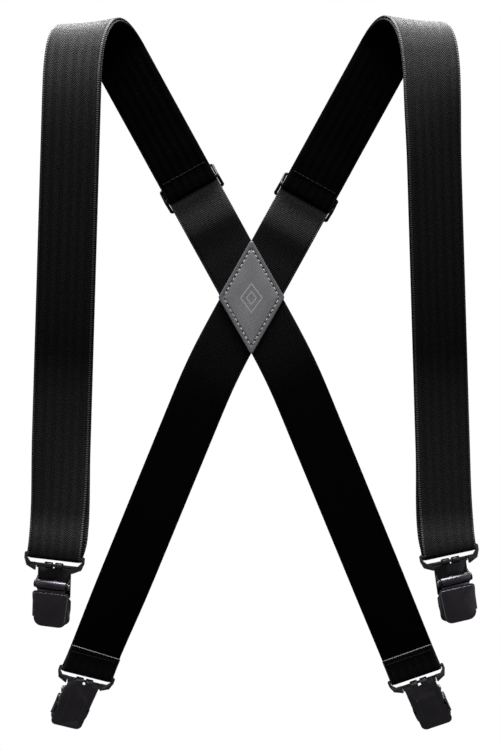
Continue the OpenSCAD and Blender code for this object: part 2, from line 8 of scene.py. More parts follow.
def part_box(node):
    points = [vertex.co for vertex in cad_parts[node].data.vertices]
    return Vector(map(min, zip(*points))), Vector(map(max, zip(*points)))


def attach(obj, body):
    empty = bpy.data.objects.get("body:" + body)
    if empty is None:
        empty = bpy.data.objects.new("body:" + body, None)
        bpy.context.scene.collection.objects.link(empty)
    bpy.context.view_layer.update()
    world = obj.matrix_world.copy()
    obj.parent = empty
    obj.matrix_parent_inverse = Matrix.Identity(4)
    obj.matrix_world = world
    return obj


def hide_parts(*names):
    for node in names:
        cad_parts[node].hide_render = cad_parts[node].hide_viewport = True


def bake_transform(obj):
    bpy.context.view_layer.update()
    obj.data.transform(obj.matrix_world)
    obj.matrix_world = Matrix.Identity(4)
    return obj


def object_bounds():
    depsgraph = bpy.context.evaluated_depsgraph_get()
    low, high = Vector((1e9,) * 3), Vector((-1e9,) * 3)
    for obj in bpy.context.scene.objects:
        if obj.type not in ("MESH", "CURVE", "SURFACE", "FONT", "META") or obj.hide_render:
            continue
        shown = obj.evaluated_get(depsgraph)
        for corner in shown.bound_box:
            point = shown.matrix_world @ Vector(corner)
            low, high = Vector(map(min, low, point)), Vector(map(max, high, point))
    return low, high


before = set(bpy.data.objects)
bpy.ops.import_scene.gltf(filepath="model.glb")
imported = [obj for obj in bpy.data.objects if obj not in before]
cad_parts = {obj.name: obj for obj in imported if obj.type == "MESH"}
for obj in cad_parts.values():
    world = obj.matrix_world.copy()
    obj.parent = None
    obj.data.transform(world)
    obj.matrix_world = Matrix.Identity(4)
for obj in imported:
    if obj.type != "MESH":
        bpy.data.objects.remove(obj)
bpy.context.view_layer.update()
scene = bpy.context.scene
print("frame loaded:", len(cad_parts), "nodes")


# node building
def addNode(tree, kind, place, **settings):
    node = tree.nodes.new(kind)
    node.location = place
    for name, value in settings.items():
        setattr(node, name, value)
    return node


def mathNode(tree, operation, a, b=None, place=(0, 0), clamp=False):
    node = addNode(tree, "ShaderNodeMath", place, operation=operation, use_clamp=clamp)
    for socket, value in zip(node.inputs, (a, b)):
        if value is None:
            continue
        if isinstance(value, (int, float)):
            socket.default_value = value
        else:
            tree.links.new(value, socket)
    return node.outputs[0]


def colourMix(tree, factor, low, high, place=(0, 0)):
    node = addNode(tree, "ShaderNodeMix", place, data_type="RGBA")
    for name, value in (("Factor_Float", factor), ("A_Color", low), ("B_Color", high)):
        socket = next(s for s in node.inputs if s.identifier == name)
        if isinstance(value, (int, float)):
            socket.default_value = value
        elif isinstance(value, (tuple, list)):
            socket.default_value = (*value, 1) if len(value) == 3 else value
        else:
            tree.links.new(value, socket)
    return next(s for s in node.outputs if s.identifier == "Result_Color")


def remap(tree, value, fromLow, fromHigh, toLow, toHigh, place=(0, 0)):
    node = addNode(tree, "ShaderNodeMapRange", place)
    tree.links.new(value, node.inputs["Value"])
    for name, number in zip(("From Min", "From Max", "To Min", "To Max"), (fromLow, fromHigh, toLow, toHigh)):
        node.inputs[name].default_value = number
    return node.outputs["Result"]


def newGroup(name, inputs, outputs):
    group = bpy.data.node_groups.new(name, "ShaderNodeTree")
    for label, kind, default in inputs:
        socket = group.interface.new_socket(name=label, in_out="INPUT", socket_type=kind)
        if default is not None:
            socket.default_value = default
    for label, kind in outputs:
        group.interface.new_socket(name=label, in_out="OUTPUT", socket_type=kind)
    start = addNode(group, "NodeGroupInput", (-900, 0))
    end = addNode(group, "NodeGroupOutput", (900, 0))
    return group, start.outputs, end.inputs


def useGroup(tree, group, place, **values):
    node = addNode(tree, "ShaderNodeGroup", place, node_tree=group)
    for name, value in values.items():
        node.inputs[name].default_value = value
    return node


def herringboneGroup():
    group, start, end = newGroup("herringboneWeave",
        [("Run", "NodeSocketVector", None), ("Rib", "NodeSocketFloat", 1.5),
            ("Chevron", "NodeSocketFloat", 3.2)],
        [("Height", "NodeSocketFloat"), ("Rib Mask", "NodeSocketFloat")])
    split = addNode(group, "ShaderNodeSeparateXYZ", (-700, 0))
    group.links.new(start["Run"], split.inputs[0])
    zigzag = addNode(group, "ShaderNodeMath", (-520, 120), operation="PINGPONG")
    group.links.new(split.outputs["X"], zigzag.inputs[0])
    group.links.new(start["Chevron"], zigzag.inputs[1])
    slanted = mathNode(group, "ADD", split.outputs["Y"], zigzag.outputs[0], (-340, 60))
    phase = mathNode(group, "DIVIDE", slanted, start["Rib"], (-180, 60))
    turn = mathNode(group, "MULTIPLY", phase, 2 * math.pi, (-20, 60))
    swing = mathNode(group, "COSINE", turn, None, (140, 60))
    rib = mathNode(group, "MULTIPLY", mathNode(group, "ADD", swing, 1.0, (300, 60)), 0.5, (460, 60))
    warpTurn = mathNode(group, "MULTIPLY", split.outputs["X"], 2 * math.pi / 0.8, (-20, -160))
    warp = mathNode(group, "COSINE", warpTurn, None, (140, -160))
    warpPart = mathNode(group, "MULTIPLY", warp, 0.16, (300, -160))
    height = mathNode(group, "ADD", rib, warpPart, (620, 0))
    group.links.new(height, end["Height"])
    group.links.new(rib, end["Rib Mask"])
    return group


def crossRibGroup():
    group, start, end = newGroup("crossRibWeave",
        [("Run", "NodeSocketVector", None), ("Rib", "NodeSocketFloat", 1.3)],
        [("Height", "NodeSocketFloat"), ("Rib Mask", "NodeSocketFloat")])
    split = addNode(group, "ShaderNodeSeparateXYZ", (-700, 0))
    group.links.new(start["Run"], split.inputs[0])
    phase = mathNode(group, "DIVIDE", split.outputs["Y"], start["Rib"], (-500, 60))
    turn = mathNode(group, "MULTIPLY", phase, 2 * math.pi, (-340, 60))
    swing = mathNode(group, "COSINE", turn, None, (-180, 60))
    rib = mathNode(group, "MULTIPLY", mathNode(group, "ADD", swing, 1.0, (-20, 60)), 0.5, (140, 60))
    warpTurn = mathNode(group, "MULTIPLY", split.outputs["X"], 2 * math.pi / 1.1, (-340, -160))
    warp = mathNode(group, "COSINE", warpTurn, None, (-180, -160))
    height = mathNode(group, "ADD", rib, mathNode(group, "MULTIPLY", warp, 0.2, (-20, -160)), (400, 0))
    group.links.new(height, end["Height"])
    group.links.new(rib, end["Rib Mask"])
    return group


# uneven tone and fine marks shared by every finish
def handlingGroup():
    group, start, end = newGroup("handlingMarks",
        [("Position", "NodeSocketVector", None), ("Blotch", "NodeSocketFloat", 60.0),
            ("Speck", "NodeSocketFloat", 900.0)],
        [("Blotch Mask", "NodeSocketFloat"), ("Speck Mask", "NodeSocketFloat"),
            ("Scratch Mask", "NodeSocketFloat")])
    blotch = addNode(group, "ShaderNodeTexNoise", (-500, 260))
    blotch.inputs["Detail"].default_value = 4
    group.links.new(start["Position"], blotch.inputs["Vector"])
    group.links.new(start["Blotch"], blotch.inputs["Scale"])
    speck = addNode(group, "ShaderNodeTexNoise", (-500, 0))
    speck.inputs["Detail"].default_value = 3
    group.links.new(start["Position"], speck.inputs["Vector"])
    group.links.new(start["Speck"], speck.inputs["Scale"])
    stretchMap = addNode(group, "ShaderNodeMapping", (-700, -260))
    stretchMap.inputs["Rotation"].default_value = (0.3, 0.5, 0.7)
    stretchMap.inputs["Scale"].default_value = (1, 22, 1)
    group.links.new(start["Position"], stretchMap.inputs["Vector"])
    scratch = addNode(group, "ShaderNodeTexNoise", (-500, -260))
    scratch.inputs["Scale"].default_value = 160
    scratch.inputs["Detail"].default_value = 2
    group.links.new(stretchMap.outputs[0], scratch.inputs["Vector"])
    group.links.new(remap(group, blotch.outputs["Fac"], 0.35, 0.68, 0, 1, (-200, 260)), end["Blotch Mask"])
    group.links.new(remap(group, speck.outputs["Fac"], 0.35, 0.68, 0, 1, (-200, 0)), end["Speck Mask"])
    group.links.new(remap(group, scratch.outputs["Fac"], 0.62, 0.72, 0, 1, (-200, -260)), end["Scratch Mask"])
    return group


herringboneWeave = herringboneGroup()
crossRibWeave = crossRibGroup()
handlingMarks = handlingGroup()


def newMaterial(name, **shader):
    material = bpy.data.materials.new(name)
    material.use_nodes = True
    tree = material.node_tree
    bsdf = tree.nodes["Principled BSDF"]
    for label, value in shader.items():
        bsdf.inputs[label.replace("_", " ")].default_value = value
    material.diffuse_color = (0.05, 0.05, 0.05, 1)
    return material, tree, bsdf


def addBump(tree, bsdf, height, distance, strength=1.0):
    bump = addNode(tree, "ShaderNodeBump", (-300, -300))
    bump.inputs["Distance"].default_value = distance
    bump.inputs["Strength"].default_value = strength
    tree.links.new(height, bump.inputs["Height"])
    tree.links.new(bump.outputs[0], bsdf.inputs["Normal"])


def markedBy(tree, source, blotch, speck):
    marks = useGroup(tree, handlingMarks, (-1250, -300), Blotch=blotch, Speck=speck)
    tree.links.new(source, marks.inputs["Position"])
    return marks.outputs


# webbing finishes: the run map is in millimetres, across and along the strap
webbingLook = {
    "ribPitch": 1.55, "chevronWidth": 3.1, "ribDepth": 0.00028,
    "faceValley": (0.0002, 0.0002, 0.0002), "faceRib": (0.0072, 0.0072, 0.0075),
    "backRibPitch": 1.25, "backValley": (0.002, 0.002, 0.0021), "backRib": (0.011, 0.011, 0.0115),
    "beadPitch": 1.5, "beadDark": (0.001, 0.001, 0.001), "beadLight": (0.032, 0.032, 0.032),
    "cutDark": (0.05, 0.05, 0.05), "cutEdge": (0.16, 0.16, 0.16), "gloss": 0.05,
}


# colour and gloss both follow the tone written on the webbing, which is painted light and shade
def toned(tree, bsdf, colour):
    tone = addNode(tree, "ShaderNodeAttribute", (-700, 420), attribute_name="tone")
    scaled = addNode(tree, "ShaderNodeVectorMath", (-420, 300), operation="SCALE")
    tree.links.new(colour, scaled.inputs[0])
    tree.links.new(tone.outputs["Fac"], scaled.inputs["Scale"])
    tree.links.new(scaled.outputs[0], bsdf.inputs["Base Color"])
    gloss = mathNode(tree, "MULTIPLY", tone.outputs["Fac"], webbingLook["gloss"], (-420, 480), clamp=True)
    tree.links.new(gloss, bsdf.inputs["Specular IOR Level"])


def webbingFaceMaterial():
    look = webbingLook
    material, tree, bsdf = newMaterial("webbingFace", Roughness=0.62,
        Sheen_Weight=0.006, Sheen_Roughness=0.4)
    run = addNode(tree, "ShaderNodeUVMap", (-1500, 0), uv_map="run").outputs[0]
    weave = useGroup(tree, herringboneWeave, (-1250, 0), Rib=look["ribPitch"], Chevron=look["chevronWidth"])
    tree.links.new(run, weave.inputs["Run"])
    marks = markedBy(tree, run, 0.05, 1.6)
    tone = mathNode(tree, "MULTIPLY_ADD", marks["Speck Mask"], 0.85, (-1000, -200))
    tone.node.inputs[2].default_value = 0.3
    lit = mathNode(tree, "MULTIPLY", weave.outputs["Rib Mask"], tone, (-820, 0), clamp=True)
    colour = colourMix(tree, lit, look["faceValley"], look["faceRib"], (-600, 120))
    toned(tree, bsdf, colour)
    rough = remap(tree, weave.outputs["Rib Mask"], 0, 1, 0.8, 0.55, (-600, -80))
    tree.links.new(rough, bsdf.inputs["Roughness"])
    addBump(tree, bsdf, weave.outputs["Height"], look["ribDepth"])
    return material


def webbingBackMaterial():
    look = webbingLook
    material, tree, bsdf = newMaterial("webbingBack", Roughness=0.8,
        Sheen_Weight=0.008, Sheen_Roughness=0.5)
    run = addNode(tree, "ShaderNodeUVMap", (-1500, 0), uv_map="run").outputs[0]
    weave = useGroup(tree, crossRibWeave, (-1250, 0), Rib=look["backRibPitch"])
    tree.links.new(run, weave.inputs["Run"])
    marks = markedBy(tree, run, 0.04, 1.1)
    tone = mathNode(tree, "MULTIPLY_ADD", marks["Speck Mask"], 0.5, (-1000, -200))
    tone.node.inputs[2].default_value = 0.5
    lit = mathNode(tree, "MULTIPLY", weave.outputs["Rib Mask"], tone, (-820, 0), clamp=True)
    toned(tree, bsdf, colourMix(tree, lit, look["backValley"], look["backRib"], (-600, 120)))
    addBump(tree, bsdf, weave.outputs["Height"], look["ribDepth"])
    return material


def selvedgeMaterial():
    look = webbingLook
    material, tree, bsdf = newMaterial("webbingSelvedge", Roughness=0.65,
        Sheen_Weight=0.02, Sheen_Roughness=0.5)
    run = addNode(tree, "ShaderNodeUVMap", (-1500, 0), uv_map="run").outputs[0]
    split = addNode(tree, "ShaderNodeSeparateXYZ", (-1300, 0))
    tree.links.new(run, split.inputs[0])
    turn = mathNode(tree, "MULTIPLY", split.outputs["Y"], 2 * math.pi / look["beadPitch"], (-1120, 0))
    swing = mathNode(tree, "COSINE", turn, None, (-960, 0))
    bead = mathNode(tree, "MULTIPLY", mathNode(tree, "ADD", swing, 1.0, (-800, 0)), 0.5, (-640, 0))
    marks = markedBy(tree, run, 0.05, 1.3)
    uneven = remap(tree, marks["Speck Mask"], 0, 1, 0.6, 1, (-900, -250))
    lit = mathNode(tree, "MULTIPLY", bead, uneven, (-480, 0), clamp=True)
    toned(tree, bsdf, colourMix(tree, lit, look["beadDark"], look["beadLight"], (-640, 120)))
    addBump(tree, bsdf, bead, 0.0004)
    return material


def cutEdgeMaterial():
    material, tree, bsdf = newMaterial("webbingCutEdge", Roughness=0.8, Specular_IOR_Level=0.15,
        Sheen_Weight=0.05, Sheen_Roughness=0.5)
    run = addNode(tree, "ShaderNodeUVMap", (-1500, 0), uv_map="run").outputs[0]
    fray = addNode(tree, "ShaderNodeTexNoise", (-1200, 0))
    fray.inputs["Scale"].default_value = 1.4
    fray.inputs["Detail"].default_value = 3
    tree.links.new(run, fray.inputs["Vector"])
    mask = remap(tree, fray.outputs["Fac"], 0.3, 0.7, 0, 1, (-950, 0))
    colour = colourMix(tree, mask, webbingLook["cutDark"], webbingLook["cutEdge"], (-600, 120))
    tree.links.new(colour, bsdf.inputs["Base Color"])
    addBump(tree, bsdf, fray.outputs["Fac"], 0.0004)
    return material


leatherLook = {
    "base": (0.093, 0.091, 0.095), "dark": (0.071, 0.069, 0.073), "rim": (0.054, 0.052, 0.06),
    "pressed": (0.2, 0.2, 0.2), "holeShade": (0.01, 0.01, 0.01), "grainScale": 1500, "grainDepth": 0.00009,
}


def leatherMaterial():
    look = leatherLook
    material, tree, bsdf = newMaterial("patchLeather", Roughness=0.5, Specular_IOR_Level=0.4,
        Coat_Weight=0.08, Coat_Roughness=0.35)
    position = addNode(tree, "ShaderNodeTexCoord", (-1500, 0)).outputs["Object"]
    marks = markedBy(tree, position, 55, 420)
    grain = addNode(tree, "ShaderNodeTexVoronoi", (-1250, -150), feature="SMOOTH_F1")
    grain.inputs["Scale"].default_value = look["grainScale"]
    tree.links.new(position, grain.inputs["Vector"])
    shape = addNode(tree, "ShaderNodeAttribute", (-1250, -420), attribute_name="leatherForm")
    form = addNode(tree, "ShaderNodeSeparateColor", (-1050, -420))
    tree.links.new(shape.outputs["Color"], form.inputs[0])
    body = colourMix(tree, marks["Blotch Mask"], look["dark"], look["base"], (-900, 200))
    rimmed = colourMix(tree, form.outputs["Red"], body, look["rim"], (-700, 200))
    pressed = colourMix(tree, form.outputs["Green"], rimmed, look["pressed"], (-500, 200))
    # stitch holes painted near black: painted shade in the holes
    holeShaded = colourMix(tree, form.outputs["Blue"], pressed, look["holeShade"], (-300, 200))
    tree.links.new(holeShaded, bsdf.inputs["Base Color"])
    rough = remap(tree, marks["Speck Mask"], 0, 1, 0.42, 0.58, (-700, -50))
    tree.links.new(rough, bsdf.inputs["Roughness"])
    addBump(tree, bsdf, grain.outputs["Distance"], look["grainDepth"], 0.6)
    return material


def threadMaterial(name, low, high):
    material, tree, bsdf = newMaterial(name, Roughness=0.65, Specular_IOR_Level=0.08,
        Sheen_Weight=0.004, Sheen_Roughness=0.4)
    position = addNode(tree, "ShaderNodeTexCoord", (-1500, 0)).outputs["Object"]
    twist = addNode(tree, "ShaderNodeTexWave", (-1200, 0), wave_type="BANDS", bands_direction="DIAGONAL")
    twist.inputs["Scale"].default_value = 700
    twist.inputs["Distortion"].default_value = 1.5
    tree.links.new(position, twist.inputs["Vector"])
    tree.links.new(colourMix(tree, twist.outputs["Fac"], low, high, (-600, 120)), bsdf.inputs["Base Color"])
    addBump(tree, bsdf, twist.outputs["Fac"], 0.00012)
    return material


# satin black plating, a little paler where edges are rubbed
def platedMaterial(name, base, worn, roughLow, roughHigh, metallic):
    material, tree, bsdf = newMaterial(name, Roughness=0.4, Metallic=metallic, Specular_IOR_Level=0.5)
    position = addNode(tree, "ShaderNodeTexCoord", (-1500, 0)).outputs["Object"]
    marks = markedBy(tree, position, 90, 2600)
    shape = addNode(tree, "ShaderNodeNewGeometry", (-1250, -320))
    edge = remap(tree, shape.outputs["Pointiness"], 0.52, 0.6, 0, 1, (-1000, -320))
    rubbed = mathNode(tree, "MULTIPLY", edge, marks["Speck Mask"], (-820, -300), clamp=True)
    scuffed = mathNode(tree, "MULTIPLY_ADD", marks["Scratch Mask"], 0.12, (-640, -200), clamp=True)
    tree.links.new(rubbed, scuffed.node.inputs[2])
    shade = colourMix(tree, marks["Blotch Mask"], [c * 0.82 for c in base], base, (-640, 120))
    tree.links.new(colourMix(tree, scuffed, shade, worn, (-420, 120)), bsdf.inputs["Base Color"])
    rough = mathNode(tree, "MULTIPLY_ADD", marks["Speck Mask"], roughHigh - roughLow, (-640, -60))
    rough.node.inputs[2].default_value = roughLow
    tree.links.new(rough, bsdf.inputs["Roughness"])
    addBump(tree, bsdf, marks["Speck Mask"], 0.00001, 0.5)
    return material


rubberLook = {"dark": (0.01, 0.01, 0.01), "pale": (0.022, 0.022, 0.021)}


def rubberMaterial():
    material, tree, bsdf = newMaterial("padRubber", Roughness=0.8, Specular_IOR_Level=0.3)
    position = addNode(tree, "ShaderNodeTexCoord", (-1500, 0)).outputs["Object"]
    marks = markedBy(tree, position, 120, 1800)
    colour = colourMix(tree, marks["Blotch Mask"], rubberLook["dark"], rubberLook["pale"], (-600, 120))
    tree.links.new(colour, bsdf.inputs["Base Color"])
    rough = remap(tree, marks["Speck Mask"], 0, 1, 0.7, 0.9, (-600, -80))
    tree.links.new(rough, bsdf.inputs["Roughness"])
    addBump(tree, bsdf, marks["Speck Mask"], 0.00003)
    return material


webbingFace = webbingFaceMaterial()
webbingBack = webbingBackMaterial()
selvedge = selvedgeMaterial()
cutEdge = cutEdgeMaterial()
leather = leatherMaterial()
patchThread = threadMaterial("patchThread", (0.2, 0.18, 0.15), (0.4, 0.37, 0.32))
strapThread = threadMaterial("strapThread", (0.0015, 0.0015, 0.0015), (0.007, 0.007, 0.0072))
slidePlating = platedMaterial("slidePlating", (0.014, 0.014, 0.015), (0.09, 0.09, 0.09), 0.32, 0.45, 1.0)
ringPlating = platedMaterial("ringPlating", (0.012, 0.012, 0.013), (0.07, 0.07, 0.07), 0.34, 0.48, 1.0)
# a darker copy of the clip plating, used as painted shade
paintedShadePlating = platedMaterial("paintedShadePlating", (0.018, 0.017, 0.019), (0.08, 0.08, 0.08), 0.32, 0.42, 1.0)
clipPlating = platedMaterial("clipPlating", (0.056, 0.051, 0.06), (0.12, 0.115, 0.125), 0.24, 0.34, 1.0)
pinSteel = platedMaterial("pinSteel", (0.25, 0.25, 0.26), (0.5, 0.5, 0.5), 0.25, 0.35, 1.0)
padRubber = rubberMaterial()
print("materials made")


def newPiece(name, mesh, *materials):
    piece = bpy.data.objects.new(name, mesh)
    scene.collection.objects.link(piece)
    for material in materials:
        mesh.materials.append(material)
    return piece


# webbing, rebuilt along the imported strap's own cross-sections
def stripSections(node, fromTop):
    bm = bmesh.new()
    bm.from_mesh(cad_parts[node].data)
    bmesh.ops.remove_doubles(bm, verts=bm.verts, dist=0.000004)
    bm.verts.ensure_lookup_table()

    def neighbours(vert):
        return [e.other_vert(vert) for e in vert.link_edges]

    def spread(start):
        reached, edge = {start}, [start]
        while edge:
            last = edge
            found = set()
            for vert in edge:
                found.update(n for n in neighbours(vert) if n not in reached)
            reached |= found
            edge = sorted(found, key=lambda v: v.index)
        return last[0]
    ends = [spread(bm.verts[0])]
    ends.append(spread(ends[0]))
    first = max(ends, key=lambda v: v.co.z) if fromTop else min(ends, key=lambda v: v.co.z)
    width = 2 * webbingForm["halfWidth"]
    thick = 2 * webbingForm["halfThick"]

    def partner(vert, size):
        return min(neighbours(vert), key=lambda n: abs((n.co - vert.co).length - size))
    beside = partner(first, thick)
    far = partner(first, width)
    ring = {first, beside, far}
    ring.add(min((n for n in neighbours(beside) + neighbours(far) if n not in ring),
        key=lambda n: abs((n.co - far.co).length - thick) + abs((n.co - beside.co).length - width)))
    rings, before = [], set()
    while ring:
        rings.append([v.co.copy() for v in ring])
        following = set()
        for vert in ring:
            following.update(n for n in neighbours(vert) if n not in ring and n not in before)
        before, ring = ring, following
    bm.free()
    centres = np.array([np.mean([list(c) for c in r], axis=0) for r in rings])
    across = []
    for ring, centre in zip(rings, centres):
        spreadOut = np.array([list(c) for c in ring]) - centre
        axis = np.linalg.svd(spreadOut)[2][0]
        across.append(axis if axis[0] > 0 else -axis)
    return centres, np.array(across)


def smoothRun(centres, across, step):
    lengths = np.concatenate([[0], np.cumsum(np.linalg.norm(np.diff(centres, axis=0), axis=1))])
    slopes = np.gradient(centres, lengths, axis=0)
    at, sides, places = [], [], []
    for i in range(len(centres) - 1):
        gap = lengths[i + 1] - lengths[i]
        count = max(1, math.ceil(gap / step))
        for k in range(count):
            t = k / count
            h = (2 * t**3 - 3 * t**2 + 1, t**3 - 2 * t**2 + t, -2 * t**3 + 3 * t**2, t**3 - t**2)
            places.append(h[0] * centres[i] + h[1] * gap * slopes[i] + h[2] * centres[i + 1]
                + h[3] * gap * slopes[i + 1])
            sides.append((1 - t) * across[i] + t * across[i + 1])
            at.append(lengths[i] + t * gap)
    places.append(centres[-1])
    sides.append(across[-1])
    at.append(lengths[-1])
    places, sides, at = np.array(places), np.array(sides), np.array(at)
    along = np.gradient(places, at, axis=0)
    along /= np.linalg.norm(along, axis=1)[:, None]
    up = np.cross(along, sides)
    up /= np.linalg.norm(up, axis=1)[:, None]
    sides = np.cross(up, along)
    return places, sides, up, at * 1000


webbingForm = {
    "halfWidth": 0.019, "halfThick": 0.0008, "step": 0.0025,
    "followsSlide": 0.62,       # share of a sewn end's length at which a point is taken; nothing uses that point
    # across the webbing from the middle out: a flat field, a groove and the selvedge cord
    "field": [0, 0.004, 0.008, 0.012, 0.0155, 0.0170],
    "edge": [(0.01740, 0.72), (0.01770, 0.60), (0.01805, 0.74), (0.01840, 0.84), (0.01870, 0.74),
        (0.01890, 0.42)],
}


def webbingProfile():
    form = webbingForm
    half = [(x, 1.0) for x in form["field"]] + form["edge"]
    top = [(-x, h) for x, h in reversed(half[1:])] + half
    below = [(x, -h) for x, h in reversed(half)] + [(-x, -h) for x, h in half[1:]]
    loop = top + [(form["halfWidth"], 0.0)] + below + [(-form["halfWidth"], 0.0)]
    return [(x, h * form["halfThick"]) for x, h in loop]


# how light the webbing is along its length, all painted light and shade: painted highlight
# over the shoulder, by the clips and below the slides, and painted shade above them
paintedLightLook = {
    "covered": 0.1, "outside": 0.5,
    "frontEnd": -0.05, "backStart": -0.052, "backDepth": 0.024,
    "ringPlaces": 6, "innerShare": 0.5, "shoulderPlaces": 10,
    "frontHeight": [-0.172, -0.159, -0.145, -0.1, -0.07, -0.04, 0.0, 0.06, 0.09, 0.11, 0.129, 0.143,
        0.156, 0.17],
    "frontTone": [0.9, 3.2, 1.3, 1.0, 0.75, 0.32, 0.4, 0.46, 0.5, 0.58, 0.85, 1.45, 2.6, 3.8],
    # run below the slide in millimetres, and the tone there
    "belowSlide": [0, 2, 4, 10, 20, 25, 31, 36, 42, 50, 75, 100, 130, 160, 400],
    "belowTone": [0.1, 0.1, 5.0, 3.4, 2.4, 1.6, 0.55, 0.4, 0.45, 0.6, 0.5, 0.45, 0.3, 0.1, 0.06],
}


# the painted light and shade of the two sides at each place. A sewn end starts at the top, with no outer
# layer
def webbingPaintedLight(places, at, slide):
    look = paintedLightLook
    low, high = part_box(slide)
    middle = (np.array(low) + np.array(high)) / 2
    outer = places[:int(np.argmax(places[:, 2]))]
    hasOuter = len(outer) > 20
    if hasOuter:
        onSlide = at[int(np.argmin(np.linalg.norm(outer - middle, axis=1)))]
    turned = int(np.argmin(np.where(places[:, 1] < look["frontEnd"], places[:, 2], 1)))
    tones = []
    for i, place in enumerate(places):
        # painted shade on the back legs, on covered sides and on the inner layer past the ring; painted light
        # and shade on the front by height
        behind = min(max((place[1] - look["backStart"]) / look["backDepth"], 0), 1)
        face = back = look["covered"]
        if hasOuter and i < len(outer) + look["shoulderPlaces"]:
            face = look["outside"]
        if hasOuter and i < len(outer):
            back = np.interp(onSlide - at[i], look["belowSlide"], look["belowTone"])
        share = 1 if i <= turned + look["ringPlaces"] else look["innerShare"]
        front = np.interp(place[2], look["frontHeight"], look["frontTone"]) * share
        tones.append([(1 - behind) * front + behind * tone for tone in (face, back)])
    return tones


def webbingPiece(name, node, fromTop, slide):
    centres, across = stripSections(node, fromTop)
    places, sides, up, at = smoothRun(centres, across, webbingForm["step"])
    profile = webbingProfile()
    count = len(profile)
    vertices = []
    for place, side, rise in zip(places, sides, up):
        vertices.extend(tuple(place + side * x + rise * h) for x, h in profile)
    faces, finish, runs = [], [], []
    grooveAt = webbingForm["edge"][1][0]
    for i in range(len(places) - 1):
        for j in range(count):
            k = (j + 1) % count
            faces.append((i * count + j, i * count + k, (i + 1) * count + k, (i + 1) * count + j))
            middle = (profile[j][0] + profile[k][0]) / 2
            height = (profile[j][1] + profile[k][1]) / 2
            finish.append(2 if abs(middle) > grooveAt - 0.0001 else 0 if height > 0 else 1)
            runs.extend([(profile[j][0] * 1000, at[i]), (profile[k][0] * 1000, at[i]),
                (profile[k][0] * 1000, at[i + 1]), (profile[j][0] * 1000, at[i + 1])])
    for end, order in ((0, -1), (len(places) - 1, 1)):
        cap = [end * count + j for j in range(count)][::order]
        faces.append(cap)
        finish.append(3)
        runs.extend([(profile[c % count][0] * 1000, at[end] + profile[c % count][1] * 1000) for c in cap])
    mesh = bpy.data.meshes.new(name)
    mesh.from_pydata(vertices, [], faces)
    layer = mesh.uv_layers.new(name="run")
    layer.data.foreach_set("uv", [c for run in runs for c in run])
    tones = mesh.attributes.new("tone", "FLOAT", "POINT")
    along = webbingPaintedLight(places, at, slide)
    tones.data.foreach_set("value", [tone[0 if h > 0 else 1] for tone in along for x, h in profile])
    piece = newPiece(name, mesh, webbingFace, webbingBack, selvedge, cutEdge)
    mesh.polygons.foreach_set("material_index", finish)
    mesh.shade_smooth()
    bm = bmesh.new()
    bm.from_mesh(mesh)
    if bm.calc_volume(signed=True) < 0:
        bmesh.ops.reverse_faces(bm, faces=bm.faces)
        bm.to_mesh(mesh)
    bm.free()
    mesh.set_sharp_from_angle(angle=math.radians(60))
    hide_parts(node)
    return piece, places


for side in ("left", "right"):
    strap, places = webbingPiece(side + "Webbing", side + "_webbing", False, side + "_slide")
    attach(strap, "straps")
    sewn, places = webbingPiece(side + "SewnEnd", side + "_sewn_end", True, side + "_slide")
    high, low = places[0], places[int(len(places) * webbingForm["followsSlide"])]
    tuple(high)
    tuple(low)
    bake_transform(sewn)
    print(side, "webbing made:", len(strap.data.polygons), "faces")


# a piece's modifiers made plain mesh
def makePlain(piece):
    graph = bpy.context.evaluated_depsgraph_get()
    made = bpy.data.meshes.new_from_object(piece.evaluated_get(graph))
    piece.modifiers.clear()
    piece.data = made


def turnOutwards(mesh):
    bm = bmesh.new()
    bm.from_mesh(mesh)
    bmesh.ops.recalc_face_normals(bm, faces=bm.faces)
    bm.to_mesh(mesh)
    bm.free()


# CAD shapes with their edges softened
def softened(name, node, material, bevel, segments, body, slotName):
    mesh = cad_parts[node].data.copy()
    mesh.name = name
    mesh.materials.clear()
    bm = bmesh.new()
    bm.from_mesh(mesh)
    bmesh.ops.remove_doubles(bm, verts=bm.verts, dist=0.000003)
    bmesh.ops.dissolve_limit(bm, angle_limit=math.radians(0.6), verts=bm.verts, edges=bm.edges)
    bm.to_mesh(mesh)
    bm.free()
    piece = newPiece(name, mesh, material)
    if bevel:
        edge = piece.modifiers.new("edge", "BEVEL")
        edge.width = bevel
        edge.segments = segments
        edge.limit_method = "ANGLE"
        edge.angle_limit = math.radians(28)
        edge.use_clamp_overlap = True
        edge.harden_normals = False
        makePlain(piece)
    piece.data.shade_smooth()
    piece.data.set_sharp_from_angle(angle=math.radians(38))
    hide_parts(node)
    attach(piece, body)
    return piece


# a domed plate: rings of an outline drawn in to its middle, in millimetres
def domedPlate(name, outline, shares, height, back, place, paint=None):
    middle = np.mean(outline, axis=0)
    count = len(outline)
    points, colours = [], []
    for share in shares:
        for spot in outline:
            x, z = middle + (spot - middle) * (1 - share)
            points.append((x, height(x, z, share), z))
            colours.append(paint(x, z, share) if paint else (0, 0, 0))
    points.append((middle[0], height(middle[0], middle[1], 1), middle[1]))
    colours.append(paint(middle[0], middle[1], 1) if paint else (0, 0, 0))
    top = len(points) - 1
    base = len(points)
    for x, z in outline:
        points.append((x, back, z))
        colours.append((1, 0, 0))
    faces = []
    for i in range(len(shares) - 1):
        for j in range(count):
            k = (j + 1) % count
            faces.append((i * count + j, i * count + k, (i + 1) * count + k, (i + 1) * count + j))
    last = (len(shares) - 1) * count
    for j in range(count):
        k = (j + 1) % count
        faces.append((last + j, last + k, top))
        faces.append((base + j, base + k, k, j))
    faces.append(tuple(range(base, base + count))[::-1])
    mesh = bpy.data.meshes.new(name)
    mesh.from_pydata([tuple(place @ Vector(p)) for p in points], [], faces)
    layer = mesh.color_attributes.new("leatherForm", "FLOAT_COLOR", "POINT")
    layer.data.foreach_set("color", [c for colour in colours for c in (*colour, 1)])
    turnOutwards(mesh)
    mesh.shade_smooth()
    mesh.set_sharp_from_angle(angle=math.radians(50))
    return mesh


